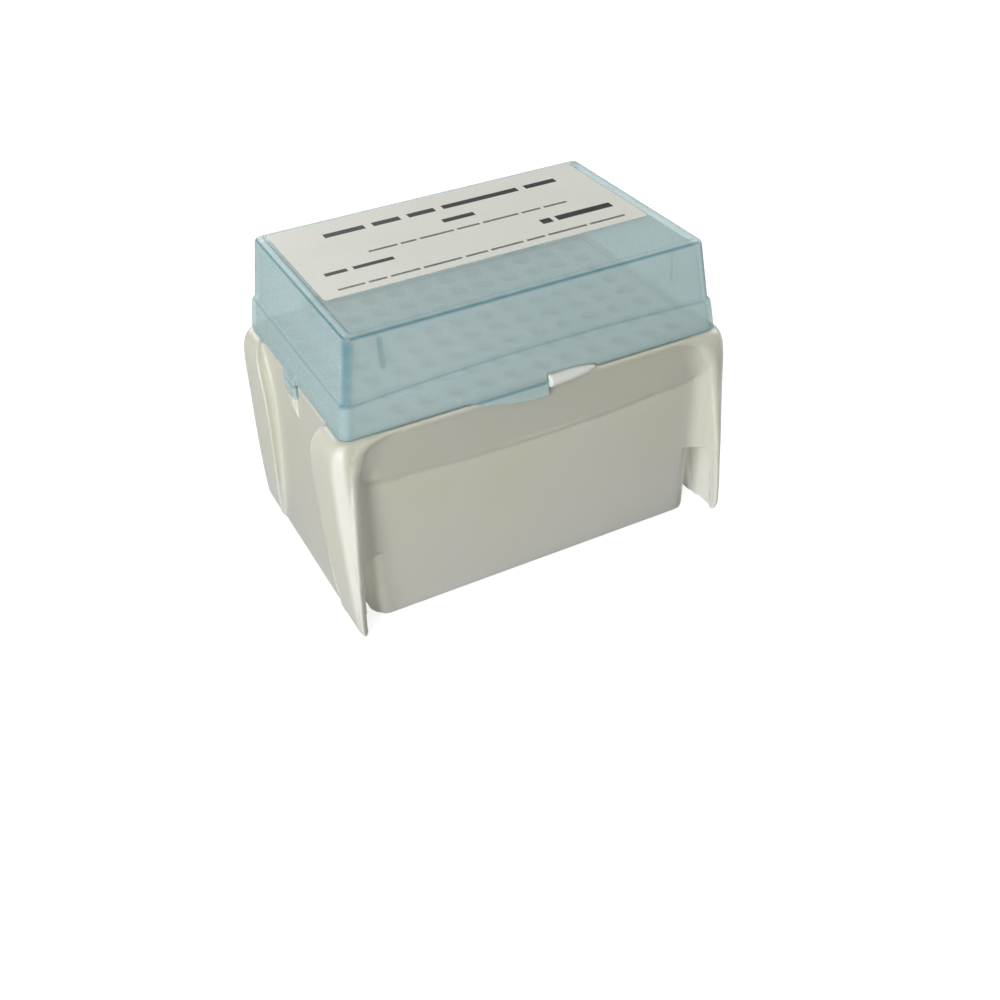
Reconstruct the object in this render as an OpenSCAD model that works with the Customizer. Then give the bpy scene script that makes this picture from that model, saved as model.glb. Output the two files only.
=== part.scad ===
// Hinged box for 96 pipette tips: white moulded base, perforated tip rack,
// blue translucent lid with a paper label on top.
// X runs along the long side, Y away from the front, Z up.
// The origin is the middle of the footprint, on the surface the box stands on.

/* [Base] */
// Half length of the base over its corner posts
post_half_x = 64.4; // [64:0.1:66]
// Half depth of the base over its feet
foot_half_y = 44.3; // [43.5:0.1:44.5]
// Height of the ledge that the lid comes down on
ledge_z = 66.4; // [64:0.2:70]
// Wall thickness of the corner posts
post_wall = 1.4; // [1:0.1:2]
// Underside of the floor, which sits down over the lid of a box below
floor_z = 0.8; // [0.4:0.1:1.5]
// Thickness of the floor
floor_t = 1.4; // [1:0.1:3]
// Height of the fold that runs across the front and rear panels, at the middle
fold_z = 48.4; // [44:0.2:52]
// Radius of that fold's slight bow
fold_bow_r = 450; // [300:10:900]
// Height of the lip that stands up inside the lid
lip_h = 2.2; // [1.5:0.1:3]
// Height of the windows low in the posts' return walls
window_h = 23; // [12:1:28]

/* [Rack] */
// Holes along the length
cols = 12; // [12]
// Holes across the depth
rows = 8; // [8]
// Spacing of the holes
pitch = 9; // [9]
// Diameter of each tip hole
hole_d = 6.4; // [5:0.1:7]
// Outer diameter of the collar under each hole
collar_d = 8; // [7.6:0.1:8.4]
// Thickness of the deck
deck_t = 1.8; // [1.2:0.1:3]
// Top of the deck
deck_z = 68.0; // [66:0.1:68.4]

/* [Lid] */
// Half length of the lid at its lower edge
lid_half_x = 60; // [59:0.1:60]
// Half depth of the lid at its lower edge
lid_half_y = 38.85; // [38:0.05:38.85]
// Half length of the lid's top
top_half_x = 55.2; // [54.5:0.1:56]
// Half depth of the lid's top
top_half_y = 36.8; // [36:0.05:37.1]
// Top of the lid
top_z = 95.6; // [90:0.2:100]
// Wall thickness of the lid
lid_wall = 1.25; // [1:0.05:1.6]
// Gap between the lid's edge and the ledge
lid_gap = 0.3; // [0.2:0.05:0.5]
// Height of the step round the lid, at the middle of its front
step_z = 78.2; // [76:0.1:79]
// Radius of that step's bow
step_bow_r = 900; // [500:10:1200]
// Width of the flat border round the lid's top
border = 2.5; // [2:0.1:4]
// Width of that border along the rear edge
rear_border = 1.1; // [1:0.1:4]

/* [Hinge] */
// Distance of the hinge pins behind the middle
hinge_y = 40.4; // [40:0.1:40.6]
// Height of the hinge pins
hinge_z = 68; // [67.8:0.1:68.4]
// Radius of the hinge pins
pin_r = 1.1; // [1:0.05:1.2]
// Running clearance round the pins
pin_gap = 0.07; // [0.05:0.01:0.1]
// Distance of each hinge from the middle
hinge_x = 36; // [25:1:40]
// Width of each lid clip
clip_w = 7; // [5:0.5:10]

/* [Label] */
// Label length
label_w = 103.2; // [80:0.2:104]
// Label depth
label_d = 48.6; // [30:0.1:48.6]
// Label thickness
label_t = 0.15; // [0.1:0.05:0.3]

/* [Hidden] */
lip_x = lid_half_x - 2;
lip_y = lid_half_y - 1.9;
well_x = lip_x - 1.2;
well_y = lip_y - 1.2;
shelf_z = 50;
clip_r = 1.9;
ear_r = 1.9;
sunk = 0.5;

// Points of a rounded rectangle, a and b its half sides, r its corner radius
function rr(a, b, r, n = 5) = [
    for (c = [[1, 1, 0], [-1, 1, 90], [-1, -1, 180], [1, -1, 270]], i = [0:n])
        [c[0] * (a - r) + r * cos(c[2] + 90 * i / n), c[1] * (b - r) + r * sin(c[2] + 90 * i / n)]
];

// Half of an arch's outline: foot half width w0, shoulder half width w1, top h, corner radius r
function arch_half(w0, w1, h, r, n = 6) = concat(
    [[w0 + (w0 - w1) * 5 / (h - r), -5]],
    [for (i = [0:n]) [w1 - r + r * cos(90 * i / n), h - r + r * sin(90 * i / n)]]
);
function arch(w0, w1, h, r) = let (p = arch_half(w0, w1, h, r), m = len(p))
    concat(p, [for (i = [m - 1:-1:0]) [-p[i][0], p[i][1]]]);

// Half width of the waisted recess in each end, at height z
function waist(z) = 20.7 + (z > 50 ? 0.024 : 0.0029) * (z - 50) * (z - 50);
function waist_pts(g) = concat(
    [for (z = [-5:5:75]) [waist(z) + g, z]],
    [for (z = [75:-5:-5]) [-waist(z) - g, z]]
);

// Thin slice for hulls
module slice(a, b, r, z) { translate([0, 0, z]) linear_extrude(0.01) polygon(rr(a, b, r)); }

// Drafted block from z0 to z1, with half sides a0, b0 below and a1, b1 above
module draft(a0, b0, z0, a1, b1, z1, r) {
    translate([0, 0, z0]) linear_extrude(height = z1 - z0, scale = [a1 / a0, b1 / b0]) polygon(rr(a0, b0, r));
}

// Outside of the four posts, as one body: flared feet, soft shoulders, inset by g
module envelope(g, top) {
    px = post_half_x - g;
    fy = foot_half_y - g;
    hull() {
        slice(px - 2.2, fy - 0.8, 4.2, g > 0 ? -2 : 0);
        slice(px - 1.0, fy, 4.5, 2.5);
        slice(px - 0.3, fy - 0.6, 4.8, 12);
        slice(px, fy - 1.3, 5.2, 26);
        slice(px, fy - 2.1, 5.8, 40);
        slice(px - 0.4, fy - 3.1, 6.2, min(58, top));
        if (top > 60) {
            slice(px - 1.1, fy - 3.55, 6.2, 61.5);
            slice(px - 2.2, fy - 4.1, 5.8, 64);
            slice(px - 3.2, fy - 4.65, 5.2, 65.4);
            slice(lid_half_x + 0.2, lid_half_y + 0.05, 4.5, ledge_z - 0.01);
        }
    }
}

// The inner tub's outside: drafted below the fold, upright above it
module tub_outside() {
    draft(56, 35.5, 0, 57.2, 37.8, shelf_z + 2, 6);
    translate([0, 0, fold_z]) linear_extrude(ledge_z - fold_z) polygon(rr(lid_half_x, lid_half_y, 4.5));
}

// Everything behind the front and rear panels: drafted below the fold, upright band above it
module panel_core() {
    rotate([90, 0, 90]) linear_extrude(height = 140, center = true)
        polygon([[-35.5, -1], [35.5, -1], [37.8, 52], [37.8, 80], [-37.8, 80], [-37.8, 52]]);
    intersection() {
        translate([-70, -lid_half_y, 40]) cube([140, 2 * lid_half_y, 40]);
        translate([0, 60, fold_z + fold_bow_r]) rotate([90, 0, 0]) cylinder(r = fold_bow_r, h = 120, $fn = 180);
    }
}

// Space outside a front or rear panel: an arch, wider towards the viewer and grown by g
module arch_space(g) {
    translate([0, -34, 0]) rotate([90, 0, 0])
        linear_extrude(height = 12, scale = [1.267, 1.024]) polygon(arch(53 + 1.35 * g, 49.9 + 1.35 * g, 68.5 + g, 8 + g));
}

// Wedge inside the end panels, its faces leaning out towards the foot, inset by g
module end_core(g) {
    rotate([90, 0, 0]) linear_extrude(height = 100, center = true)
        polygon([[-62.6 + g, -6], [62.6 - g, -6], [lid_half_x - g, ledge_z + 8], [-lid_half_x + g, ledge_z + 8]]);
}

// Space outside the end panels, grown sideways by g
module end_space(g, core_inset) {
    difference() {
        rotate([90, 0, 90]) linear_extrude(height = 140, center = true) polygon(waist_pts(g));
        end_core(core_inset);
    }
}

// Hollow of the tub: floor, drafted lower part, shelf at the ends, upright upper part
module tub_hollow() {
    draft(54.2, 33.7, floor_z + floor_t, 55.3, well_y, shelf_z, 4);
    translate([0, 0, shelf_z - 0.01]) linear_extrude(30) polygon(rr(well_x, well_y, 3.5));
}

// Rounded half of the lens at the front: grip on the base, filling the notch in the lid
module grip() {
    intersection() {
        translate([2.6, -50, 0]) cube([20, 12.2, 80]);
        union() {
            // bulges in plan, thick at the middle of the box and fading out to the right
            translate([2.6, -lid_half_y, 64.4]) linear_extrude(4)
                polygon(concat([[0, 0.9]], [for (i = [0:8]) [15.4 * sin(90 * i / 8), -2.2 * cos(90 * i / 8) + 0.001]], [[15.4, 0.9]]));
        }
        // sloping top
        rotate([90, 0, 90]) linear_extrude(30)
            polygon([[-42, 65.6], [-41.2, 64.9], [-37, 64.9], [-37, 68.4], [-39.2, 68.4], [-41.4, 66.4]]);
        // thin end at the right
        rotate([90, 0, 0]) linear_extrude(60)
            polygon(concat([for (i = [0:8]) [2.3 + 15.9 * i / 8, 68.4 - 2.1 * (1 - sqrt(1 - pow(i / 8, 3)))]], [for (i = [8:-1:0]) [2.3 + 15.9 * i / 8, 64.8 + 1.4 * i / 8]]));
    }
}

module hinge_ears() {
    for (s = [-1, 1], e = [-1, 1])
        translate([s * hinge_x + e * (clip_w / 2 + 0.3 + 1), 0, 0]) rotate([90, 0, 90]) linear_extrude(2, center = true)
            union() {
                translate([hinge_y, hinge_z]) circle(r = ear_r, $fn = 48);
                polygon([[38.2, 58], [hinge_y + ear_r, 63.5], [hinge_y + ear_r, hinge_z], [hinge_y - 1.1, hinge_z], [39.15, 66.4], [38.2, 66.4]]);
            }
    for (s = [-1, 1])
        translate([s * hinge_x - clip_w / 2 - 1.3, hinge_y, hinge_z]) rotate([0, 90, 0]) cylinder(r = pin_r, h = clip_w + 2.6, $fn = 48);
}

// Wedge catch below the lid's tongue, at the middle of each end
module end_catch() {
    for (s = [-1, 1]) rotate([0, 0, s > 0 ? 0 : 180]) translate([0, 2.2, 0]) rotate([90, 0, 0]) linear_extrude(4.4)
        polygon([[59.5, 52.5], [61.0, 55], [61.9, 60.6], [61.3, 61.6], [59.5, 61.6]]);
}

module base() color([0.93, 0.93, 0.9]) {
    difference() {
        union() {
            difference() {
                envelope(0, ledge_z);
                // outside of the front and rear panels
                for (m = [0, 1]) mirror([0, m, 0]) difference() { arch_space(0); panel_core(); }
                // shallow waisted recesses in the ends
                end_space(0, 0);
                // hollow posts, open below
                difference() {
                    envelope(post_wall, 61);
                    tub_outside();
                    for (m = [0, 1]) mirror([0, m, 0]) arch_space(post_wall);
                    end_space(post_wall, post_wall);
                }
            }
            translate([0, 0, ledge_z - 3]) linear_extrude(lip_h + 3) polygon(rr(lip_x, lip_y, 3.6));
            grip();
            hinge_ears();
            end_catch();
        }
        tub_hollow();
        // underside recess that takes the top of a lid below
        translate([0, 0, -1]) linear_extrude(floor_z + 1) polygon(rr(55.1, 34.6, 5));
        // windows low in the return walls, open below, so that the tub's corner shows behind each post
        difference() {
            for (mx = [0, 1], my = [0, 1]) mirror([mx, 0, 0]) mirror([0, my, 0])
                translate([51.5, -40.3, -1]) cube([10.3, 8, window_h + 2.4]);
            draft(56, 35.5, 0, 57.2, 37.8, shelf_z + 2, 6);
        }
    }
}

module rack_plate() color([0.93, 0.94, 0.93]) {
    a = well_x - 0.2;
    b = well_y - 0.2;
    difference() {
        union() {
            difference() {
                translate([0, 0, shelf_z]) linear_extrude(deck_z - shelf_z) polygon(rr(a, b, 3.2));
                // inside of the skirt
                translate([0, 0, shelf_z - 1]) linear_extrude(deck_z - deck_t - shelf_z + 1) polygon(rr(a - 1.1, b - 1.1, 2.2));
                // the long sides stop short of the shelf
                translate([-a + 8, -50, shelf_z - 1]) cube([2 * a - 16, 100, 7]);
            }
            for (i = [0:cols - 1], j = [0:rows - 1])
                translate([(i - (cols - 1) / 2) * pitch, (j - (rows - 1) / 2) * pitch, deck_z - deck_t - 3])
                    cylinder(d = collar_d, h = 3.2, $fn = 32);
        }
        for (i = [0:cols - 1], j = [0:rows - 1])
            translate([(i - (cols - 1) / 2) * pitch, (j - (rows - 1) / 2) * pitch, deck_z - deck_t - 5])
                cylinder(d = hole_d, h = 10, $fn = 32);
    }
}

// Lid's drafted upper body, inset by g, up to z
module lid_body(g, z) {
    k = (top_z - z) * 0.1216;
    hull() {
        slice(59.6 - g, 38.2 - g, max(3 - g, 1.2), ledge_z + (g > 0 ? -1 : lid_gap));
        slice(top_half_x - g, top_half_y - g, max(2.2 - g, 1), z - (g > 0 ? 0.01 : 1));
        if (g == 0) slice(top_half_x - 0.3, top_half_y - 0.3, 2, z - 0.3);
        if (g == 0) slice(top_half_x - 0.9, top_half_y - 0.9, 1.6, z - 0.01);
    }
}

// Flared skirt below the bowed step
module lid_skirt(g) {
    intersection() {
        hull() {
            slice(lid_half_x - g, lid_half_y - g, 3.2 - g, ledge_z + (g > 0 ? -1 : lid_gap));
            slice(lid_half_x - 1.7 - g, lid_half_y - 0.65 - g, 3 - g, 80);
        }
        translate([0, 60, step_z - step_bow_r]) rotate([90, 0, 0]) cylinder(r = step_bow_r - (g > 0 ? lid_wall : 0), h = 120, $fn = 180);
    }
}

// Half lens that hangs from the lid's front edge, left of the middle
module finger_tab() {
    intersection() {
        rotate([90, 0, 0]) translate([0, 0, 36]) linear_extrude(6)
            polygon(concat([for (i = [0:10]) [-24.7 + 26.7 * i / 10, 67.4 - 4.9 * sin(90 * i / 10)]], [[2, 70], [-24.7, 70]]));
        // grows out of the skirt and leans outwards
        translate([-30, 0, 0]) rotate([90, 0, 90]) linear_extrude(40)
            polygon([[-38.0, 66.8], [-38.0, 69.9], [-38.66, 69.9], [-39.35, 67.6], [-40.25, 65.6], [-40.55, 63.2], [-40.4, 61], [-39.1, 61], [-39.1, 66.8]]);
    }
}

// Tongue over each end's catch
module tongue() {
    for (s = [-1, 1]) rotate([0, 0, s > 0 ? 0 : 180]) translate([0, 4.5, 0]) rotate([90, 0, 0]) linear_extrude(9)
        polygon([[60.55, 62.2], [61.3, 62.0], [61.7, 62.6], [61.6, 68.5], [60.4, 70.6], [58.9, 70.6], [59.0, 66.8], [60.45, 66.8]]);
}

module hinge_clips() {
    for (s = [-1, 1]) translate([s * hinge_x, 0, 0]) rotate([90, 0, 90]) linear_extrude(clip_w, center = true)
        difference() {
            union() {
                translate([hinge_y, hinge_z]) circle(r = clip_r, $fn = 48);
                polygon([[38.0, 66.75], [39.6, 66.75], [hinge_y, hinge_z - 1.2], [hinge_y + 0.9, hinge_z + 1.8], [38.3, 71.5], [37.6, 71.5]]);
            }
            translate([hinge_y, hinge_z]) circle(r = pin_r + pin_gap, $fn = 48);
            // mouth that snaps over the pin
            translate([hinge_y - 0.85, hinge_z - 4]) square([1.7, 4]);
        }
    // stop that meets the rear panel when the lid is fully open
    for (s = [-1, 1]) translate([s * hinge_x, hinge_y, hinge_z]) rotate([-23, 0, 0]) translate([-1.5, 1.35, -0.75]) cube([3, 0.7, 0.7]);
}

// Short upright ribs inside the long walls, near the corners
module lid_ribs() {
    for (m = [0, 1], s = [-1, 1]) mirror([0, m, 0]) translate([s * 45.6 - 0.4, 0, 0]) rotate([90, 0, 90]) linear_extrude(0.8)
        polygon([[-36.7, 84.3], [-36.2, 94.2], [-34.4, 94.2], [-35.0, 84.3]]);
}

module lid() color([0.55, 0.75, 0.82, 0.5]) {
    difference() {
        union() {
            difference() {
                union() { lid_body(0, top_z); lid_skirt(0); }
                lid_body(lid_wall, top_z - lid_wall - sunk);
                lid_skirt(lid_wall);
                // sunken middle of the top
                translate([0, (border - rear_border) / 2, top_z - sunk]) linear_extrude(5)
                    polygon(rr(top_half_x - border, top_half_y - (border + rear_border) / 2, 2));
                // notch right of the middle, over the base's grip
                rotate([90, 0, 0]) translate([0, 0, 30]) linear_extrude(12)
                    polygon(concat([for (i = [0:8]) [2.3 + 16.3 * i / 8, 68.7 - 2.3 * (1 - sqrt(1 - pow(i / 8, 3)))]], [[18.6, 60], [2.3, 60]]));
                // room for the hinge ears
                for (s = [-1, 1], e = [-1, 1]) translate([s * hinge_x + e * (clip_w / 2 + 1.3) - 1.3, hinge_y, hinge_z])
                    rotate([0, 90, 0]) cylinder(r = 2.3, h = 2.6, $fn = 48);
                // room for the hinge pins
                for (s = [-1, 1]) translate([s * hinge_x - clip_w / 2, hinge_y, hinge_z])
                    rotate([0, 90, 0]) cylinder(r = pin_r + 0.3, h = clip_w, $fn = 48);
            }
            finger_tab();
            tongue();
            hinge_clips();
            lid_ribs();
        }
    }
}

module label() color([0.94, 0.94, 0.9]) {
    translate([0, 35.6 - label_d / 2, top_z - sunk]) linear_extrude(label_t) polygon(rr(label_w / 2, label_d / 2, 1.2));
}

base();
rack_plate();
lid();
label();
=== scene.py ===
"""Looks of the pipette tip box. Lengths are millimetres in the mesh code and metres in Blender."""
import math

import bmesh
import bpy
import numpy as np
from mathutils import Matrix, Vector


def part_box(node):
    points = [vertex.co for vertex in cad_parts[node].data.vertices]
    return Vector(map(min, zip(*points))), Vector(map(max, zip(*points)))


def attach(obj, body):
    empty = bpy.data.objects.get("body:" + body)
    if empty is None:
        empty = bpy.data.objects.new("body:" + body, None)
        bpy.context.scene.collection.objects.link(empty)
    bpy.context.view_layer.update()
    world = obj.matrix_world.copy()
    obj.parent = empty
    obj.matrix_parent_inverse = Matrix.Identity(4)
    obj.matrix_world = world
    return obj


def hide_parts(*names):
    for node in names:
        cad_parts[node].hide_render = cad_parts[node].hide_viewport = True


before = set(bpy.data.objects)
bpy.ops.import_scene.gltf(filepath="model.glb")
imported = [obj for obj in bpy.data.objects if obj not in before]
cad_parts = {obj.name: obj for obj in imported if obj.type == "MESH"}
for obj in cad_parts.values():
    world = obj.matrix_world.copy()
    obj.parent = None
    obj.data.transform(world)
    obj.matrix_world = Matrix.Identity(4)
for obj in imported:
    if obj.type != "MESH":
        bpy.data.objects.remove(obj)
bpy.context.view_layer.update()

import openvdb
from mathutils import Matrix, Vector

F = np.float32

# ---------------------------------------------------------------- field helpers
# A solid is a function of x, y, z in mm that is negative inside, near a true distance close to the surface.


def smax(a, b, k):
    h = np.maximum(k - np.abs(a - b), 0)
    return np.maximum(a, b) + h * h * (0.25 / k)


def smin(a, b, k):
    h = np.maximum(k - np.abs(a - b), 0)
    return np.minimum(a, b) - h * h * (0.25 / k)


def sstep(t):
    t = np.clip(t, 0, 1)
    return t * t * (3 - 2 * t)


def box2(x, y, a, b, r):
    qx = np.abs(x) - a + r
    qy = np.abs(y) - b + r
    return np.hypot(np.maximum(qx, 0), np.maximum(qy, 0)) + np.minimum(np.maximum(qx, qy), 0) - r


def convex(u, v, pts):
    """Convex polygon in the u, v plane, corners anticlockwise."""
    d = None
    for (u0, v0), (u1, v1) in zip(pts, pts[1:] + pts[:1]):
        n = math.hypot(u1 - u0, v1 - v0)
        e = (u - u0) * ((v1 - v0) / n) - (v - v0) * ((u1 - u0) / n)
        d = e if d is None else np.maximum(d, e)
    return d


class Profile:
    """A smooth curve through a control polygon, softened over sigma mm."""

    def __init__(self, pts, sigma):
        self.z = np.arange(-12, 112, 0.1)
        p = np.interp(self.z, [a for a, _ in pts], [b for _, b in pts])
        n = int(4 * sigma / 0.1)
        w = np.exp(-0.5 * (np.arange(-n, n + 1) * 0.1 / sigma) ** 2)
        w /= w.sum()
        pad = np.concatenate([np.full(n, p[0]), p, np.full(n, p[-1])])
        self.v = np.convolve(pad, w, "valid")

    def __call__(self, z):
        return np.interp(z, self.z, self.v).astype(F)


# ---------------------------------------------------------------- base
LEDGE = 66.4
PX, FY = 64.4, 44.3
base_a = Profile([(-5, PX - 4.0), (0, PX - 1.8), (2.5, PX - 0.8), (12, PX - 0.25), (26, PX), (42, PX), (56, PX - 0.1),
                  (61, PX - 0.5), (64, PX - 1.3), (65.6, PX - 2.2), (66.4, PX - 3.1), (70, PX - 7)], 0.8)
base_b = Profile([(-5, FY - 2.4), (0, FY - 0.7), (2.5, FY - 0.1), (12, FY - 0.6), (26, FY - 1.3), (40, FY - 2.1), (58, FY - 3.1),
                  (62, FY - 3.6), (64.5, FY - 4.3), (65.8, FY - 5.0), (66.4, FY - 5.4), (70, FY - 8)], 0.8)
base_c = Profile([(0, 2.9), (12, 3.1), (30, 3.3), (45, 3.6), (60, 3.2), (66.4, 2.4)], 2.0)


def base_outer(ax, ay, z):
    """Posts' envelope, without its flat top and bottom."""
    a, b = base_a(z), base_b(z)
    return smax(box2(ax, ay, a, b, 2.2), (ax + ay - (a + b - base_c(z))) * 0.7071, 1.2)


def panel_y(ax, z):
    zf = fold_z(ax)
    s = sstep((z - zf + 1.3) / 2.0)
    g = 0.3 * np.exp(-((z - zf + 1.4) / 1.5) ** 2)
    return (35.5 + 2.3 / 52 * z) * (1 - s) + (38.85 - 0.03 * np.maximum(66.4 - z, 0)) * s - g


def recess(ax, ay, z):
    t = ay - 34
    xs = ax / (1 + 0.02225 * t)
    zs = z / (1 + 0.002 * t)
    q1 = (((xs - 53.0) * 60.5 + zs * 3.1) / 60.58) * 0.72 + 8
    q2 = zs - 60.5
    arch = np.hypot(np.maximum(q1, 0), np.maximum(q2, 0)) + np.minimum(np.maximum(q1, q2), 0) - 8
    yp = panel_y(ax, z)
    k = 1.3 + 3.2 * sstep((z - fold_z(ax)) / 7)
    return smax(arch, yp - ay, k)


def fold_z(ax):
    return 48.4 + 450 - np.sqrt(450 * 450 - ax * ax)


def end_recess(ax, ay, z):
    w = 20.7 + np.where(z > 50, 0.024, 0.0029).astype(F) * (z - 50) ** 2
    xw = 62.6 - (z + 6) * (2.6 / 80.4)
    return smax(ay - w, xw - ax, 1.6)


def base_quarter(ax, ay, z):
    """The part of the base that is the same in all four quarters."""
    e = base_outer(ax, ay, z)
    r = recess(ax, ay, z)
    u = end_recess(ax, ay, z)
    s = smax(e, -r, 0.7)
    s = smax(s, -u, 0.9)
    # thin beads along both rims
    bead = np.minimum(np.hypot(r - 0.35, e + 0.30) - 0.50, np.hypot(u - 0.40, e + 0.30) - 0.48)
    s = smin(s, bead, 0.5)
    s = smax(s, z - LEDGE, 1.1)
    s = smax(s, -z, 0.9)
    # hollow posts
    k = (z - 0) / 52
    tub = np.minimum(np.maximum(box2(ax, ay, 56 + 1.2 * k, 35.5 + 2.3 * k, 6.0), z - 52),
                     np.maximum(box2(ax, ay, 60.0, 38.85, 4.5), 48.4 - z))
    post = np.maximum(np.maximum(np.maximum(e + 1.4, 1.3 - r), np.maximum(1.4 - u, -tub)), z - 61)
    s = smax(s, -post, 0.5)
    # windows low in the return walls, open below
    tubc = box2(ax, ay, 56 + 1.2 * k, 35.5 + 2.3 * k, 6.0)
    win = smax(np.abs(ax - 56.0) - 5.8, smax(np.abs(ay - 36.3) - 4.0, z - 24.4, 1.0), 0.5)
    s = smax(s, -smax(win, -tubc, 0.3), 0.35)
    # lip that stands up inside the lid
    lip = smax(np.maximum(box2(ax, ay, 58.0, 36.95, 3.6), 63.4 - z), z - 68.6, 0.7)
    s = smin(s, lip, 0.7)
    # hollow of the tub
    v = np.minimum(
        smax(box2(ax, ay, 54.2 + 1.1 * (z - 2.2) / 47.8, 33.7 + 2.05 * (z - 2.2) / 47.8, 4.0), 2.2 - z, 2.0),
        np.maximum(box2(ax, ay, 56.8, 35.75, 3.5), 50 - z))
    s = smax(s, -v, 0.6)
    # underside recess
    s = smax(s, -np.maximum(box2(ax, ay, 55.1, 34.6, 5.0), z - 0.8), 0.5)
    # catches below the lid's tongues
    c = smax(convex(ax, z, [(59.5, 52.5), (61.0, 55.0), (61.9, 60.6), (61.3, 61.6), (59.5, 61.6)]), ay - 2.2, 0.6)
    return smin(s, c, 0.5)


def grip(x, y, z):
    u = (x - 2.6) / 15.8
    g = (np.sqrt(np.maximum(u, 0) ** 2 + ((y + 38.5) / 2.7) ** 2 + ((z - 66.7) / 2.05) ** 2) - 1) * 1.9
    g = smax(g, 2.45 - x, 0.35)
    return np.maximum(g, z - 68.5)


def ears(x, y, z):
    xx = np.abs(np.abs(x) - 36)
    side = np.abs(xx - 4.8) - 1.0
    c = np.hypot(y - 40.4, z - 68.0)
    plate = np.minimum(c - 1.9, convex(y, z, [(38.0, 58.0), (42.3, 63.5), (42.3, 68.0), (39.3, 68.0), (38.9, 66.5), (38.0, 66.5)]))
    e = smax(plate, side, 0.4)
    pin = np.maximum(c - 1.1, xx - 4.8)
    return np.minimum(e, pin)


def base_field(x, y, z):
    s = base_quarter(np.abs(x), np.abs(y), z)
    s = smin(s, grip(x, y, z), 0.35)
    s = smin(s, ears(x, y, z), 0.35)
    return np.maximum(s, np.maximum(np.abs(x) - 64.38, np.maximum(np.abs(y) - 42.55, -z)))


# ---------------------------------------------------------------- rack plate
def rack_field(x, y, z):
    s = smax(box2(x, y, 56.6, 35.55, 3.2), z - 68.0, 0.9)
    s = smax(s, 50 - z, 0.5)
    inner = np.maximum(box2(x, y, 55.5, 34.45, 2.2), z - 66.2)
    s = smax(s, -inner, 0.6)
    s = smax(s, -np.maximum(np.abs(x) - 48.6, z - 56.0), 0.5)
    xm = x - 9 * np.floor(x / 9) - 4.5
    ym = y - 9 * np.floor(y / 9) - 4.5
    r = np.hypot(xm, ym)
    field = np.maximum(np.abs(x) - 54, np.abs(y) - 36)
    collar = np.maximum(np.maximum(r - 4.0, np.abs(z - 64.8) - 1.6), field)
    s = smin(s, np.maximum(collar, box2(x, y, 56.5, 35.45, 3.1)), 0.6)
    return smax(s, -np.maximum(r - 3.2, field), 0.8)


# ---------------------------------------------------------------- lid
WALL = 1.25


def step_height(x):
    return 78.2 - 900 + np.sqrt(900 * 900 - x * x)


lid_tab_y = Profile([(50, 40.5), (61, 40.6), (63.2, 40.5), (65.6, 40.2), (67.6, 39.35), (69.9, 38.45), (75, 37.8)], 0.5)


def lid_field(x, y, z):
    ax, ay = np.abs(x), np.abs(y)
    dz = z - 66.7
    rb = 2.8 - 0.02 * dz
    ab, bb = 59.6 - 0.1522 * dz, 38.2 - 0.0484 * dz
    a_s, b_s = 60.4 - 0.15 * dz, 38.9 - 0.0489 * dz
    zs = step_height(x)
    body = smax(box2(ax, ay, ab, bb, rb) * 0.993, z - 95.6, 1.5)
    skirt = smax(box2(ax, ay, a_s, b_s, 3.0) * 0.99, z - zs, 1.2)
    s = smin(body, skirt, 1.2)
    inner = smin(smax(box2(ax, ay, ab - WALL, bb - WALL, 1.4), z - 93.85, 1.2),
                 smax(box2(ax, ay, a_s - WALL, b_s - WALL, 1.8), z - zs + WALL, 0.6), 0.6)
    s = smax(s, -inner, 0.4)
    # sunken middle of the top
    s = smax(s, -np.maximum(box2(x, y - 0.7, 52.7, 35.0, 2.0), 95.1 - z), 0.5)
    # lower edge, with the notch over the grip
    t = np.clip((x - 2.3) / 16.3, 0, 1)
    notch = np.where((x > 2.15) & (x < 18.6) & (y < 0), 68.7 - 2.0 * (1 - np.sqrt(1 - t ** 3)), 66.7)
    s = smax(s, notch - z, 0.45)
    # finger tab
    low = 67.4 - 4.9 * np.sin(np.clip((x + 24.7) / 26.7, 0, 1) * (math.pi / 2))
    yo = lid_tab_y(z)
    yi = np.maximum(yo - 1.2, np.where(z < 66.9, 39.1, 38.0))
    ramp = sstep((x + 25.5) / 6)
    yo = yo * ramp + (1 - ramp) * np.minimum(yo, b_s + 0.1)
    tab = smax(smax(-y - yo, yi + y, 0.4), smax(np.maximum(x - 2.0, -25.5 - x), low - z, 0.5), 0.5)
    tab = np.maximum(tab, z - 70.2)
    s = smin(s, tab, 0.5)
    # tongues over the catches
    tg = np.minimum(convex(ax, z, [(60.55, 62.2), (61.3, 62.0), (61.7, 62.6), (61.6, 68.7), (60.5, 68.7)]),
                    convex(ax, z, [(59.1, 66.9), (61.6, 66.9), (61.6, 68.5), (60.4, 70.6), (58.9, 70.6)]))
    s = smin(s, smax(tg, ay - 4.5, 0.7), 0.5)
    # ribs inside the long walls
    rib = np.maximum(np.abs(ax - 45.6) - 0.4, convex(-ay, z, [(-36.7, 84.3), (-35.0, 84.3), (-34.4, 94.2), (-36.2, 94.2)]))
    s = smin(s, rib, 0.5)
    # room for the hinge ears and pins, then the clips
    xx = np.abs(ax - 36)
    c = np.hypot(y - 40.4, z - 68.0)
    s = smax(s, -np.maximum(c - 2.3, np.abs(xx - 4.8) - 1.3), 0.3)
    s = smax(s, -np.maximum(c - 1.4, xx - 3.6), 0.3)
    clip = np.minimum(c - 1.9, convex(y, z, [(38.0, 66.75), (39.6, 66.75), (40.4, 66.8), (41.3, 69.8), (38.3, 71.5), (37.6, 71.5)]))
    clip = np.maximum(clip, xx - 3.5)
    clip = np.maximum(clip, 1.17 - c)
    clip = np.maximum(clip, -np.maximum(np.abs(y - 40.4) - 0.85, np.maximum(z - 68.0, 64 - z)))
    return smin(s, clip, 0.4)


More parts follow.
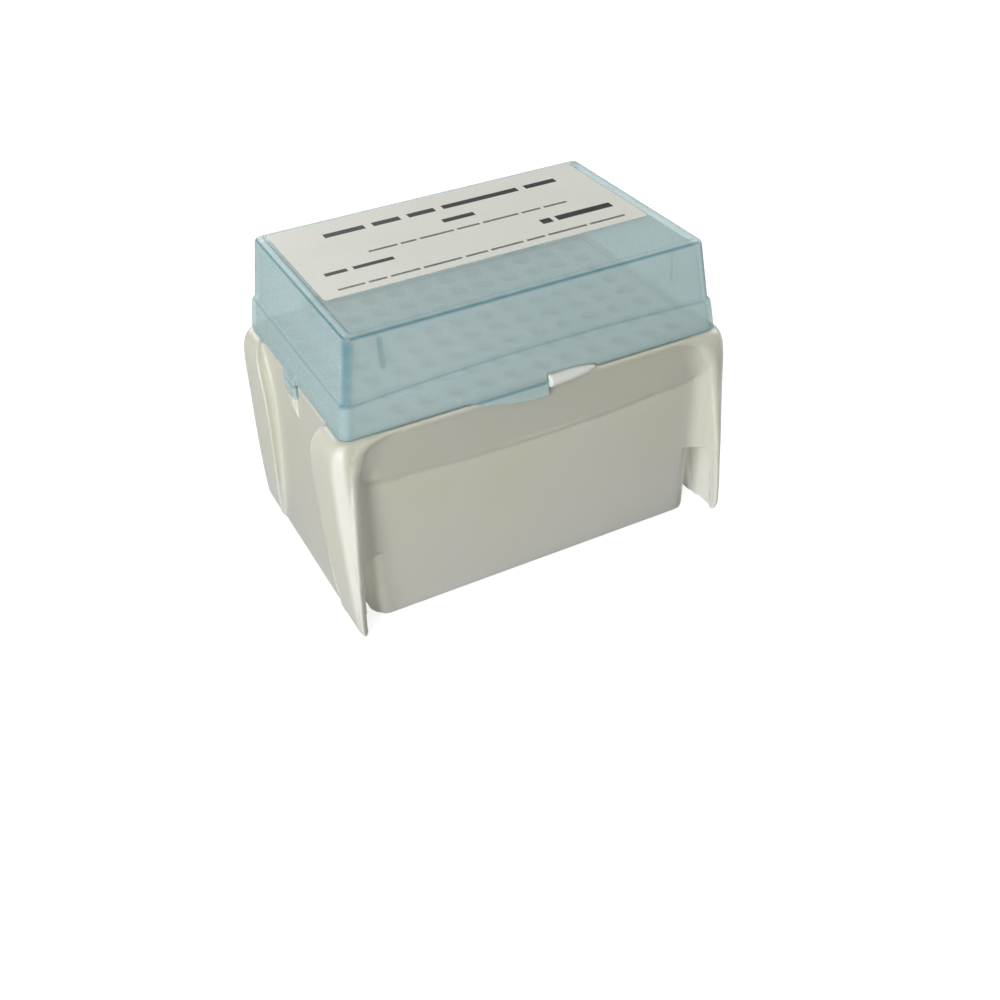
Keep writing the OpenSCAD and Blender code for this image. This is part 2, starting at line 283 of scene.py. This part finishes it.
# ---------------------------------------------------------------- meshing
def solid(name, field, lo, hi, h, adaptivity, target=None):
    n = [int(math.ceil((b - a) / h)) + 1 for a, b in zip(lo, hi)]
    ax = [(a + h * np.arange(k)).astype(F) for a, k in zip(lo, n)]
    out = np.empty(n, F)
    step = max(1, int(3e6 / (n[1] * n[2])))
    for i in range(0, n[0], step):
        out[i:i + step] = field(ax[0][i:i + step, None, None], ax[1][None, :, None], ax[2][None, None, :])
    np.clip(out, -2.5 * h, 2.5 * h, out)
    g = openvdb.FloatGrid(2.5 * h)
    g.copyFromArray(out)
    pts, tris, quads = g.convertToPolygons(0.0, adaptivity)
    del out
    p = pts.astype(np.float64) * h + np.array(lo)
    # a step back on to the true surface, and its normal
    def grad(p):
        e = 0.05
        q = [p[:, i].astype(np.float64) for i in range(3)]
        return np.stack([field(q[0] + e * (i == 0), q[1] + e * (i == 1), q[2] + e * (i == 2))
                         - field(q[0] - e * (i == 0), q[1] - e * (i == 1), q[2] - e * (i == 2)) for i in range(3)], 1) / (2 * e)
    g0 = grad(p)
    d = field(p[:, 0], p[:, 1], p[:, 2])
    gn = np.maximum((g0 * g0).sum(1), 0.25)
    move = -(d / gn)[:, None] * g0
    ln = np.linalg.norm(move, axis=1)
    p += move * np.minimum(1, 0.35 * h / np.maximum(ln, 1e-9))[:, None]
    faces = quads.tolist() + tris.tolist()
    me = bpy.data.meshes.new(name)
    me.from_pydata((p * 0.001).tolist(), [], faces)
    me.validate()
    me.update()
    ob = bpy.data.objects.new(name, me)
    bpy.context.scene.collection.objects.link(ob)
    tri = sum(len(q.vertices) - 2 for q in me.polygons)
    print("solid", name, n, "points", len(p), "triangles", tri)
    if target and tri > target:
        md = ob.modifiers.new("thin", "DECIMATE")
        md.ratio = target / tri
        bpy.context.view_layer.objects.active = ob
        with bpy.context.temp_override(object=ob, active_object=ob, selected_objects=[ob]):
            bpy.ops.object.modifier_apply(modifier=md.name)
        me = ob.data
        print("   thinned to", sum(len(q.vertices) - 2 for q in me.polygons))
    co = np.empty(len(me.vertices) * 3)
    me.vertices.foreach_get("co", co)
    nrm = grad(co.reshape(-1, 3) * 1000)
    nrm /= np.maximum(np.linalg.norm(nrm, axis=1), 1e-6)[:, None]
    me.shade_smooth()
    me.normals_split_custom_set_from_vertices(nrm.tolist())
    return ob


# ---------------------------------------------------------------- label
def bars():
    """Plain printed bars: (x0, x1, y0, y1, ink), in mm on the label, from its middle."""
    out = []

    def row(x, y, h, widths, gap, ink):
        for w in widths:
            out.append((x, x + w, y - h / 2, y + h / 2, ink))
            x += w + gap

    row(-37.0, 14.3, 2.8, [13, 9, 9, 26, 11], 2.6, 2)
    row(-2.4, 5.1, 2.5, [10.6], 0, 2)
    row(-29.5, -2.4, 1.1, [9, 5, 11, 7.5, 12, 6.5, 8], 1.1, 1)
    row(-46.0, -10.0, 2.0, [6.8, 12.5], 1.8, 2)
    row(22.2, -11.5, 3.2, [3.6, 19.0], 1.6, 2)
    row(-46.0, -20.4, 1.1, [8, 5.5, 9, 12, 7, 10.5, 6, 13, 12], 1.1, 1)
    return out


def label_sheet(name, lo, hi):
    """A thin paper with cut corners, its top face divided along the printed bars."""
    cx, cy = (lo[0] + hi[0]) / 2, (lo[1] + hi[1]) / 2
    a, b = (hi[0] - lo[0]) / 2, (hi[1] - lo[1]) / 2
    z0, z1 = lo[2], hi[2]
    rad, n = 1.2, 6
    rim = []
    for sx, sy, a0 in ((1, 1, 0), (-1, 1, 90), (-1, -1, 180), (1, -1, 270)):
        for i in range(n + 1):
            t = math.radians(a0 + 90 * i / n)
            rim.append((cx + sx * (a - rad) + rad * math.cos(t), cy + sy * (b - rad) + rad * math.sin(t)))
    bm = bmesh.new()
    top = [bm.verts.new((x, y, z1)) for x, y in rim]
    low = [bm.verts.new((x, y, z0)) for x, y in rim]
    bm.faces.new(top)
    bm.faces.new(low[::-1])
    for i in range(len(rim)):
        j = (i + 1) % len(rim)
        bm.faces.new((low[i], low[j], top[j], top[i]))
    bs = bars()
    cuts = [((cx + v, 0, 0), (1, 0, 0)) for v in sorted({round(e, 4) for q in bs for e in q[:2]})]
    cuts += [((0, cy + v, 0), (0, 1, 0)) for v in sorted({round(e, 4) for q in bs for e in q[2:4]})]
    for co, no in cuts:
        geom = [f for f in bm.faces if f.normal.z > 0.5 or f.calc_center_median().z > (z0 + z1) / 2]
        geom = set(geom) | {e for f in geom for e in f.edges} | {v for f in geom for v in f.verts}
        bmesh.ops.bisect_plane(bm, geom=list(geom), plane_co=co, plane_no=no)
        bm.normal_update()
    for f in bm.faces:
        c = f.calc_center_median()
        if f.normal.z > 0.5:
            for x0, x1, y0, y1, ink in bs:
                if x0 < c.x - cx < x1 and y0 < c.y - cy < y1:
                    f.material_index = ink
    bmesh.ops.triangulate(bm, faces=bm.faces)
    for v in bm.verts:
        v.co *= 0.001
    me = bpy.data.meshes.new(name)
    bm.to_mesh(me)
    bm.free()
    ob = bpy.data.objects.new(name, me)
    bpy.context.scene.collection.objects.link(ob)
    return ob


# ---------------------------------------------------------------- materials
class Nodes:
    def __init__(self, name):
        self.mat = bpy.data.materials.new(name)
        self.mat.use_nodes = True
        self.t = self.mat.node_tree
        self.t.nodes.clear()
        self.out = self.t.nodes.new("ShaderNodeOutputMaterial")
        self.pos = self.new("ShaderNodeTexCoord").outputs["Object"]

    def new(self, kind, **props):
        n = self.t.nodes.new(kind)
        for k, v in props.items():
            setattr(n, k, v)
        return n

    def link(self, a, b):
        self.t.links.new(a, b)

    def math(self, op, a, b=None, c=None, clamp=False):
        n = self.new("ShaderNodeMath", operation=op, use_clamp=clamp)
        for i, v in enumerate((a, b, c)):
            if v is None:
                continue
            if isinstance(v, (int, float)):
                n.inputs[i].default_value = v
            else:
                self.link(v, n.inputs[i])
        return n.outputs[0]

    def noise(self, scale, detail=2.0, rough=0.5, vec=None):
        n = self.new("ShaderNodeTexNoise")
        n.inputs["Scale"].default_value = scale
        n.inputs["Detail"].default_value = detail
        n.inputs["Roughness"].default_value = rough
        self.link(vec if vec is not None else self.pos, n.inputs["Vector"])
        return n.outputs["Fac"]

    def ramp(self, fac, stops):
        n = self.new("ShaderNodeValToRGB")
        el = n.color_ramp.elements
        while len(el) < len(stops):
            el.new(0.5)
        for e, (p, c) in zip(el, stops):
            e.position = p
            e.color = (*c, 1) if len(c) == 3 else c
        self.link(fac, n.inputs[0])
        return n.outputs["Color"]

    def mapr(self, v, a, b, c, d):
        n = self.new("ShaderNodeMapRange")
        for i, x in enumerate((a, b, c, d)):
            n.inputs[i + 1].default_value = x
        self.link(v, n.inputs[0])
        return n.outputs[0]

    def bump(self, height, strength, dist=0.0001, normal=None):
        n = self.new("ShaderNodeBump")
        n.inputs["Strength"].default_value = strength
        n.inputs["Distance"].default_value = dist
        self.link(height, n.inputs["Height"])
        if normal is not None:
            self.link(normal, n.inputs["Normal"])
        return n.outputs["Normal"]

    def principled(self, **vals):
        n = self.new("ShaderNodeBsdfPrincipled")
        for k, v in vals.items():
            n.inputs[k.replace("_", " ")].default_value = v
        return n


def moulded_white(name, tint_a, tint_b, rough=0.32, posts=False):
    """White polypropylene, warmer and thicker towards its top: faint clouding of the colour, fine mould texture. With
    posts, painted shade, painted highlights and a painted glow are added to the base's colour.
    """
    m = Nodes(name)
    cloud = m.noise(28, 3, 0.55)
    sp = m.new("ShaderNodeSeparateXYZ")
    m.link(m.pos, sp.inputs[0])
    low = m.mapr(sp.outputs[2], 0.004, 0.030, 0.42, 0.0)
    col = m.ramp(m.math("ADD", cloud, low), [(0.30, tint_a), (0.95, tint_b)])
    p = m.principled(IOR=1.49)
    p.inputs["Subsurface Weight"].default_value = 0.7
    p.inputs["Subsurface Radius"].default_value = (1.0, 0.97, 0.90)
    p.inputs["Subsurface Scale"].default_value = 0.0012
    m.link(col, p.inputs["Base Color"])
    fine = m.noise(2600, 2, 0.6)
    wave = m.noise(60, 2, 0.5)
    m.link(m.mapr(fine, 0.3, 0.7, rough - 0.05, rough + 0.07), p.inputs["Roughness"])
    n1 = m.bump(wave, 0.25, 0.0004)
    m.link(m.bump(fine, 0.12, 0.00004, n1), p.inputs["Normal"])
    if posts:
        nm = m.new("ShaderNodeSeparateXYZ")
        m.link(m.new("ShaderNodeTexCoord").outputs["Normal"], nm.inputs[0])
        ax, ay = m.math("ABSOLUTE", sp.outputs[0]), m.math("ABSOLUTE", sp.outputs[1])
        nx = m.math("MULTIPLY", nm.outputs[0], m.math("SIGN", sp.outputs[0]))
        ny = m.math("MULTIPLY", nm.outputs[1], m.math("SIGN", sp.outputs[1]))
        # painted shade: the band above the fold on the long sides and the faces of the end recesses are darkened in
        # colour, standing in for the shade they fall in
        painted_shade = m.math("MULTIPLY", m.mapr(sp.outputs[2], 0.0485, 0.0505, 0, 1), m.mapr(ny, 0.90, 0.98, 0, 1))
        painted_shade = m.math("MULTIPLY", painted_shade, m.math("MULTIPLY", m.mapr(ax, 0.050, 0.056, 0.13, 0), m.mapr(sp.outputs[2], 0.0640, 0.0650, 1, 0)))
        sunk = m.math("MULTIPLY_ADD", sp.outputs[2], 0.0323, ax)
        end_shade = m.math("MULTIPLY", m.mapr(sunk, 0.0629, 0.0635, 0.11, 0), m.math("MULTIPLY", m.mapr(nx, 0.85, 0.97, 0, 1), m.mapr(ax, 0.0580, 0.0590, 0, 1)))
        painted_shade = m.math("MAXIMUM", painted_shade, end_shade)
        shade_mix = m.new("ShaderNodeMix", data_type="RGBA")
        m.link(painted_shade, shade_mix.inputs["Factor"])
        m.link(col, shade_mix.inputs[6])
        shade_mix.inputs[7].default_value = (0, 0, 0, 1)
        # painted highlight: the posts' outer corner faces and the top of the grip are lightened in colour
        corner = m.math("MULTIPLY", m.mapr(m.math("MINIMUM", nx, ny), 0.35, 0.60, 0, 0.45), m.mapr(ax, 0.0575, 0.0590, 0, 1))
        lens = m.math("MULTIPLY", m.mapr(sp.outputs[1], -0.0394, -0.0390, 1, 0), m.mapr(sp.outputs[2], 0.0644, 0.0652, 0, 1))
        lens = m.math("MULTIPLY", lens, m.mapr(ax, 0.020, 0.022, 0.8, 0))
        highlight_mix = m.new("ShaderNodeMix", data_type="RGBA")
        m.link(m.math("MAXIMUM", corner, lens), highlight_mix.inputs["Factor"])
        m.link(shade_mix.outputs[2], highlight_mix.inputs[6])
        highlight_mix.inputs[7].default_value = (0.92, 0.92, 0.89, 1)
        m.link(highlight_mix.outputs[2], p.inputs["Base Color"])
        # painted glow: low faces inside the hollow posts and the tub's corners behind the windows emit a little light
        # in the plastic's colour, standing in for light through the thin walls
        wall = m.math("MULTIPLY", m.mapr(nx, -0.6, -0.9, 0, 1), m.mapr(ax, 0.0575, 0.0585, 0, 1))
        tub = m.math("MULTIPLY", m.mapr(nx, 0.2, 0.6, 0, 1), m.math("MULTIPLY", m.mapr(ax, 0.0500, 0.0520, 0, 1), m.mapr(ax, 0.0590, 0.0600, 1, 0)))
        back = m.math("MULTIPLY", m.mapr(ny, 0.1, 0.5, 0, 1), m.math("MULTIPLY", m.mapr(ay, 0.0320, 0.0335, 1, 0), m.mapr(ax, 0.0560, 0.0570, 0, 1)))
        painted_glow = m.math("MULTIPLY", m.math("MAXIMUM", back, m.math("MAXIMUM", wall, tub)), m.mapr(sp.outputs[2], 0.045, 0.050, 1, 0))
        m.link(m.math("MULTIPLY", painted_glow, 0.14), p.inputs["Emission Strength"])
        m.link(col, p.inputs["Emission Color"])
    m.link(p.outputs[0], m.out.inputs["Surface"])
    return m.mat


LID_HAZE = (0.47, 0.52)


def lid_blue(name):
    """Blue polypropylene, hazy and see-through: milky over its faces, deeper in colour where the plastic is thick at
    its edges, and darkened over its end walls as painted shade.
    """
    m = Nodes(name)
    cloud = m.noise(22, 3, 0.5)
    p = m.principled(IOR=1.45)
    p.inputs["Specular IOR Level"].default_value = 0.3
    sp = m.new("ShaderNodeSeparateXYZ")
    m.link(m.pos, sp.inputs[0])
    x, y, z = sp.outputs
    ax, ay = m.math("ABSOLUTE", x), m.math("ABSOLUTE", y)
    dz = m.math("SUBTRACT", z, 0.0667)
    # distance in from the faces of the upper part, which lean in with height
    fx = m.math("SUBTRACT", m.math("MULTIPLY_ADD", dz, -0.1522, 0.0596), ax)
    fy = m.math("SUBTRACT", m.math("MULTIPLY_ADD", dz, -0.0484, 0.0382), ay)
    # thick plastic round the edge of the top, and the border of its sunken middle
    rear = m.mapr(y, -0.001, 0.001, 1, 0.25)
    corner = m.math("MAXIMUM", m.mapr(fx, 0.0003, 0.0012, 1, 0), m.math("MULTIPLY", m.mapr(fy, 0.0003, 0.0011, 1, 0), rear))
    top = m.math("MULTIPLY", corner, m.mapr(z, 0.0944, 0.0952, 0, 1))
    bx = m.mapr(m.math("ABSOLUTE", m.math("SUBTRACT", ax, 0.0528)), 0.0001, 0.0006, 0.55, 0)
    bx = m.math("MULTIPLY", bx, m.mapr(x, -0.001, 0.001, 1, 0.3))
    by = m.mapr(m.math("ABSOLUTE", m.math("ADD", y, 0.0344)), 0.0001, 0.0006, 0.55, 0)
    bx = m.math("MULTIPLY", bx, m.mapr(ay, 0.0344, 0.0348, 1, 0))
    by = m.math("MULTIPLY", by, m.mapr(ax, 0.0529, 0.0533, 1, 0))
    border = m.math("MULTIPLY", m.math("MAXIMUM", bx, by), m.mapr(z, 0.0945, 0.0950, 0, 1))
    # corners between the sides
    post = m.mapr(m.math("ADD", fx, fy), 0.0013, 0.0030, 0.90, 0)
    # step round the lid
    zs = m.math("SQRT", m.math("SUBTRACT", 0.9 * 0.9, m.math("MULTIPLY", x, x)))
    ds = m.math("SUBTRACT", m.math("SUBTRACT", z, 0.0782 - 0.9), zs)
    stp = m.mapr(m.math("ABSOLUTE", m.math("SUBTRACT", ds, 0.0001)), 0.0001, 0.0006, 0.5, 0)
    # lower rim
    rim = m.mapr(m.math("ABSOLUTE", m.math("SUBTRACT", z, 0.0667)), 0.0002, 0.0007, 0.7, 0)
    # ribs inside the long sides
    rib = m.mapr(m.math("ABSOLUTE", m.math("SUBTRACT", ax, 0.0456)), 0.0003, 0.0009, 0.45, 0)
    rib = m.math("MULTIPLY", rib, m.math("MULTIPLY", m.mapr(fy, 0.0022, 0.0032, 1, 0), m.mapr(z, 0.0840, 0.0850, 0, 1)))
    rib = m.math("MULTIPLY", rib, m.math("MULTIPLY", m.mapr(z, 0.0938, 0.0944, 1, 0), m.mapr(x, -0.001, 0.001, 1, 0.3)))
    post = m.math("MULTIPLY", post, m.mapr(ds, -0.0006, 0.0004, 0.35, 1))
    # painted shade: the end walls are darkened in colour
    end_shade = m.mapr(fx, 0.0012, 0.0020, 0.20, 0)
    edge_and_end_shade = m.math("MAXIMUM", m.math("MAXIMUM", top, border), m.math("MAXIMUM", m.math("MAXIMUM", post, stp), m.math("MAXIMUM", rib, rim)))
    edge_and_end_shade = m.math("MAXIMUM", edge_and_end_shade, end_shade)
    mixc = m.new("ShaderNodeMix", data_type="RGBA")
    m.link(edge_and_end_shade, mixc.inputs["Factor"])
    m.link(m.ramp(cloud, [(0.3, (0.69, 0.835, 0.83)), (0.7, (0.76, 0.89, 0.89))]), mixc.inputs[6])
    mixc.inputs[7].default_value = (0.07, 0.25, 0.32, 1)
    m.link(mixc.outputs[2], p.inputs["Base Color"])
    fine = m.noise(1800, 2, 0.6)
    wave = m.noise(45, 2, 0.5)
    m.link(m.mapr(fine, 0.3, 0.7, 0.20, 0.32), p.inputs["Roughness"])
    n1 = m.bump(wave, 0.3, 0.0004)
    m.link(m.bump(fine, 0.06, 0.00003, n1), p.inputs["Normal"])
    tr = m.new("ShaderNodeBsdfTransparent")
    tr.inputs["Color"].default_value = (0.93, 0.985, 0.99, 1)
    lw = m.new("ShaderNodeLayerWeight")
    lw.inputs["Blend"].default_value = 0.25
    fac = m.mapr(lw.outputs["Facing"], 0.0, 1.0, LID_HAZE[0], LID_HAZE[1])
    fac = m.math("MULTIPLY_ADD", edge_and_end_shade, 0.30, fac, clamp=True)
    mix = m.new("ShaderNodeMixShader")
    m.link(fac, mix.inputs[0])
    m.link(tr.outputs[0], mix.inputs[1])
    m.link(p.outputs[0], mix.inputs[2])
    m.link(mix.outputs[0], m.out.inputs["Surface"])
    return m.mat


def paper(name, ink):
    m = Nodes(name)
    fibre = m.noise(900, 4, 0.65)
    cloud = m.noise(40, 2, 0.5)
    p = m.principled(IOR=1.5, Roughness=0.55)
    base = {0: ((0.86, 0.865, 0.785), (0.91, 0.915, 0.84)), 1: ((0.10, 0.10, 0.10), (0.30, 0.30, 0.29)), 2: ((0.025, 0.025, 0.028), (0.07, 0.07, 0.07))}[ink]
    f = m.math("MULTIPLY_ADD", fibre, 0.6, m.math("MULTIPLY", cloud, 0.4))
    m.link(m.ramp(f, [(0.35, base[0]), (0.65, base[1])]), p.inputs["Base Color"])
    m.link(m.bump(fibre, 0.1, 0.00002), p.inputs["Normal"])
    m.link(p.outputs[0], m.out.inputs["Surface"])
    return m.mat


# ---------------------------------------------------------------- the pieces
HB = 0.45
HL = 0.4
base = solid("base_moulding", base_field, (-65, -43, -0.9), (65, 43.2, 70.8), HB, 0.02, 190000)
rack = solid("rack_moulding", rack_field, (-57.5, -36.4, 49.2), (57.5, 36.4, 68.9), HL, 0.02, 190000)
lid = solid("lid_moulding", lid_field, (-62.6, -41.6, 61.2), (62.6, 43.2, 96.4), HL, 0.02, 190000)
lo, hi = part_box("label")
label = label_sheet("label_sheet", [v * 1000 for v in lo], [v * 1000 for v in hi])

for ob, mats, node, body, slot in (
        (base, [moulded_white("moulded_base", (0.70, 0.70, 0.575), (0.71, 0.71, 0.66), posts=True)], "base", "box_body", "white_plastic"),
        (rack, [moulded_white("moulded_rack", (0.86, 0.87, 0.83), (0.90, 0.90, 0.87), 0.45)], "rack_plate", "box_body", "rack_plastic"),
        (lid, [lid_blue("clear_lid")], "lid", "lid_body", "blue_translucent"),
        (label, [paper("label_paper", 0), paper("label_grey", 1), paper("label_black", 2)], "label", "lid_body", "label_paper")):
    for mt in mats:
        ob.data.materials.append(mt)
    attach(ob, body)
    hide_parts(node)

# ---------------------------------------------------------------- floor, light, camera
bm = bmesh.new()
bmesh.ops.create_grid(bm, x_segments=8, y_segments=8, size=6.0)
me = bpy.data.meshes.new("floor")
bm.to_mesh(me)
bm.free()
floor = bpy.data.objects.new("floor", me)
bpy.context.scene.collection.objects.link(floor)
m = Nodes("pale_floor")
p = m.principled(Roughness=0.9)
p.inputs["Emission Color"].default_value = (1, 1, 1, 1)
p.inputs["Emission Strength"].default_value = 0.80
m.link(m.ramp(m.noise(3, 2, 0.5), [(0.3, (0.44, 0.44, 0.44)), (0.7, (0.46, 0.46, 0.46))]), p.inputs["Base Color"])
m.link(p.outputs[0], m.out.inputs["Surface"])
floor.data.materials.append(m.mat)
# the floor's own glow keeps it white and lights nothing else
only = bpy.data.collections.new("floor_glow")
only.objects.link(floor)
floor.light_linking.receiver_collection = only

world = bpy.data.worlds.new("studio")
bpy.context.scene.world = world
world.use_nodes = True
wt = world.node_tree
wt.nodes["Background"].inputs[1].default_value = 0.03
wt.nodes["Background"].inputs[0].default_value = (1.0, 0.99, 0.97, 1)


def area(name, loc, target, size, power, colour=(1, 1, 1)):
    d = bpy.data.lights.new(name, "AREA")
    d.shape = "RECTANGLE"
    d.size, d.size_y = size
    d.energy = power
    d.color = colour
    ob = bpy.data.objects.new(name, d)
    ob.location = loc
    ob.rotation_euler = (Vector(target) - Vector(loc)).to_track_quat("-Z", "Y").to_euler()
    bpy.context.scene.collection.objects.link(ob)
    return ob


area("front_left", (-0.75, -0.55, 0.25), (0, 0, 0.05), (0.4, 0.5), 6.0)
area("front_left_high", (-0.6, -0.45, 0.75), (0, 0, 0.05), (0.6, 0.6), 2.3)
area("left", (-0.95, 0.0, 0.35), (0, 0, 0.05), (0.6, 0.6), 0.4)
area("right", (0.9, 0.0, 0.5), (0, 0, 0.05), (0.6, 0.6), 6.3)
area("back", (-0.1, 0.9, 0.5), (0, 0, 0.05), (0.6, 0.6), 5.2)

cam = bpy.data.cameras.new("camera")
cam.sensor_width = 36.0
cam.lens = 1243.757 / 1000 * 36.0
cam.clip_start, cam.clip_end = 0.01, 50
camera = bpy.data.objects.new("camera", cam)
bpy.context.scene.collection.objects.link(camera)
# viewing direction, its right and its up, in the part's own frame
right = Vector((0.887047, -0.459842, -0.041140))
down = Vector((-0.303746, -0.514174, -0.802099))
ahead = Vector((0.347686, 0.723996, -0.595772))
rot = Matrix((right, -down, -ahead)).transposed()
camera.matrix_world = Matrix.Translation((-0.142294, -0.304761, 0.249780)) @ rot.to_4x4()
bpy.context.scene.camera = camera
bpy.context.scene.view_settings.view_transform = "Standard"
